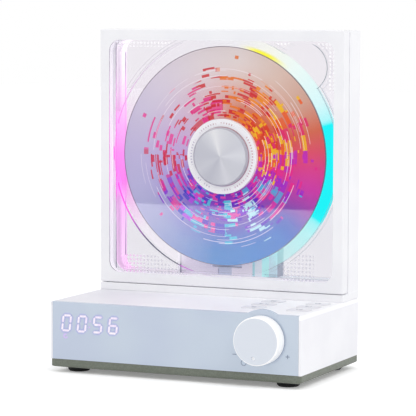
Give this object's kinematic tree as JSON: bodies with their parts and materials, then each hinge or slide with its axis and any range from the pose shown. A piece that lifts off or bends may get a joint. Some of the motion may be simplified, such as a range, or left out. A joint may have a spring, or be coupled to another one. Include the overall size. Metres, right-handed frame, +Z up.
{
  "type": "wall mounted cd player",
  "caption": "Disc player with a see-through upright: clear door, tray, clamped disc and laser sled above a low base with a display, a knob and keys.",
  "frame": {"origin": "centre of the bounding box's bottom face, on the surface that the feet stand on", "axes": "+X to the right seen from the front, +Y to the back, where it meets a wall, +Z up"},
  "size_m": [0.1444, 0.092, 0.1828],
  "materials": {
    "bottom_plate": "matte",
    "rubber_feet": "matte",
    "screw_steel": "satin",
    "housing_white": "satin",
    "fascia_blue": "gloss",
    "display_module": "matte",
    "control_metal": "satin",
    "circuit_green": "satin",
    "battery_wrap": "satin",
    "speaker_black": "matte",
    "cone_grey": "matte",
    "socket_metal": "polished",
    "black_plastic": "matte",
    "case_white": "satin",
    "pin_steel": "polished",
    "magnet_nickel": "polished",
    "clear_cover": "polished",
    "clear_tray": "polished",
    "light_pink": "satin",
    "light_cyan": "satin",
    "mechanism_cover": "satin",
    "mechanism_front": "satin",
    "chassis_steel": "satin",
    "damper_rubber": "matte",
    "motor_metal": "satin",
    "rail_steel": "polished",
    "flex_grey": "satin",
    "door_white": "satin",
    "clear_pane": "polished",
    "disc": "gloss",
    "clamp_ring": "satin",
    "clamp_cap": "brushed",
    "turntable": "satin",
    "sled_body": "matte",
    "lens": "polished",
    "lead_screw": "satin",
    "knob_white": "satin",
    "key_white": "satin"
  },
  "bodies": {
    "player": {"bottom_plate": "bottom_plate", "rubber_feet": "rubber_feet", "bottom_screws": "screw_steel", "base_housing": "housing_white", "top_panel": "housing_white", "fascia": "fascia_blue", "display_module": "display_module", "potentiometer": "control_metal", "main_board": "circuit_green", "battery_pack": "battery_wrap", "speaker_baskets": "speaker_black", "speaker_cones": "cone_grey", "usb_port": "socket_metal", "audio_jack": "black_plastic", "switch_body": "black_plastic", "key_board": "circuit_green", "key_switches": "black_plastic", "rear_case": "case_white", "hinge_pins": "pin_steel", "case_magnets": "magnet_nickel", "rear_cover": "clear_cover", "disc_tray": "clear_tray", "light_bar_left": "light_pink", "light_bar_right": "light_cyan", "mechanism_cover": "mechanism_cover", "mechanism_front": "mechanism_front", "mechanism_chassis": "chassis_steel", "damper_grommets": "damper_rubber", "mechanism_screws": "screw_steel", "spindle_motor": "motor_metal", "sled_rails": "rail_steel", "sled_motor": "motor_metal", "flex_cable": "flex_grey"},
    "door": {"door_frame": "door_white", "door_window": "clear_pane", "door_magnets": "magnet_nickel"},
    "disc_set": {"disc": "disc", "clamp_ring": "clamp_ring", "clamp_cap": "clamp_cap", "clamp_magnet": "magnet_nickel", "turntable": "turntable", "spindle_shaft": "rail_steel"},
    "sled": {"laser_sled": "sled_body", "laser_lens": "lens"},
    "screw": {"lead_screw": "lead_screw"},
    "knob": {"volume_knob": "knob_white", "knob_shaft": "rail_steel"},
    "play_key": {"key_play": "key_white"},
    "stop_key": {"key_stop": "key_white"},
    "previous_key": {"key_previous": "key_white"},
    "next_key": {"key_next": "key_white"},
    "mode_key": {"key_mode": "key_white"},
    "repeat_key": {"key_repeat": "key_white"},
    "rear_switch": {"mode_switch": "black_plastic"}
  },
  "joints": [
    {"name": "door_hinge", "type": "hinge", "parent": "player", "child": "door", "pos_m": [-0.06885, 0.02525, 0.11], "axis": [0, 0, -1], "range_deg": [0, 90]},
    {"name": "disc_spin", "type": "hinge", "parent": "player", "child": "disc_set", "pos_m": [-0.001, 0.03, 0.11375], "axis": [0, 1, 0], "continuous": true},
    {"name": "sled_slide", "type": "slide", "parent": "player", "child": "sled", "axis": [0, 0, -1], "range_m": [0, 0.033]},
    {"name": "screw_spin", "type": "hinge", "parent": "player", "child": "screw", "pos_m": [0.02, 0.0399, 0.08], "axis": [0, 0, 1], "range_deg": [0, 3961]},
    {"name": "volume_turn", "type": "hinge", "parent": "player", "child": "knob", "pos_m": [0.0504, -0.0375, 0.0248], "axis": [0, 1, 0], "range_deg": [0, 280]},
    {"name": "play_press", "type": "slide", "parent": "player", "child": "play_key", "axis": [0, 0, -1], "range_m": [0, 0.0006], "stiffness_N_per_m": 400},
    {"name": "stop_press", "type": "slide", "parent": "player", "child": "stop_key", "axis": [0, 0, -1], "range_m": [0, 0.0006], "stiffness_N_per_m": 400},
    {"name": "previous_press", "type": "slide", "parent": "player", "child": "previous_key", "axis": [0, 0, -1], "range_m": [0, 0.0006], "stiffness_N_per_m": 400},
    {"name": "next_press", "type": "slide", "parent": "player", "child": "next_key", "axis": [0, 0, -1], "range_m": [0, 0.0006], "stiffness_N_per_m": 400},
    {"name": "mode_press", "type": "slide", "parent": "player", "child": "mode_key", "axis": [0, 0, -1], "range_m": [0, 0.0006], "stiffness_N_per_m": 400},
    {"name": "repeat_press", "type": "slide", "parent": "player", "child": "repeat_key", "axis": [0, 0, -1], "range_m": [0, 0.0006], "stiffness_N_per_m": 400},
    {"name": "switch_slide", "type": "slide", "parent": "player", "child": "rear_switch", "axis": [1, 0, 0], "range_m": [0, 0.004]}
  ],
  "couplings": [
    {"joint": "screw_spin", "follows": "sled_slide", "rad_per_m": 2094.4}
  ]
}
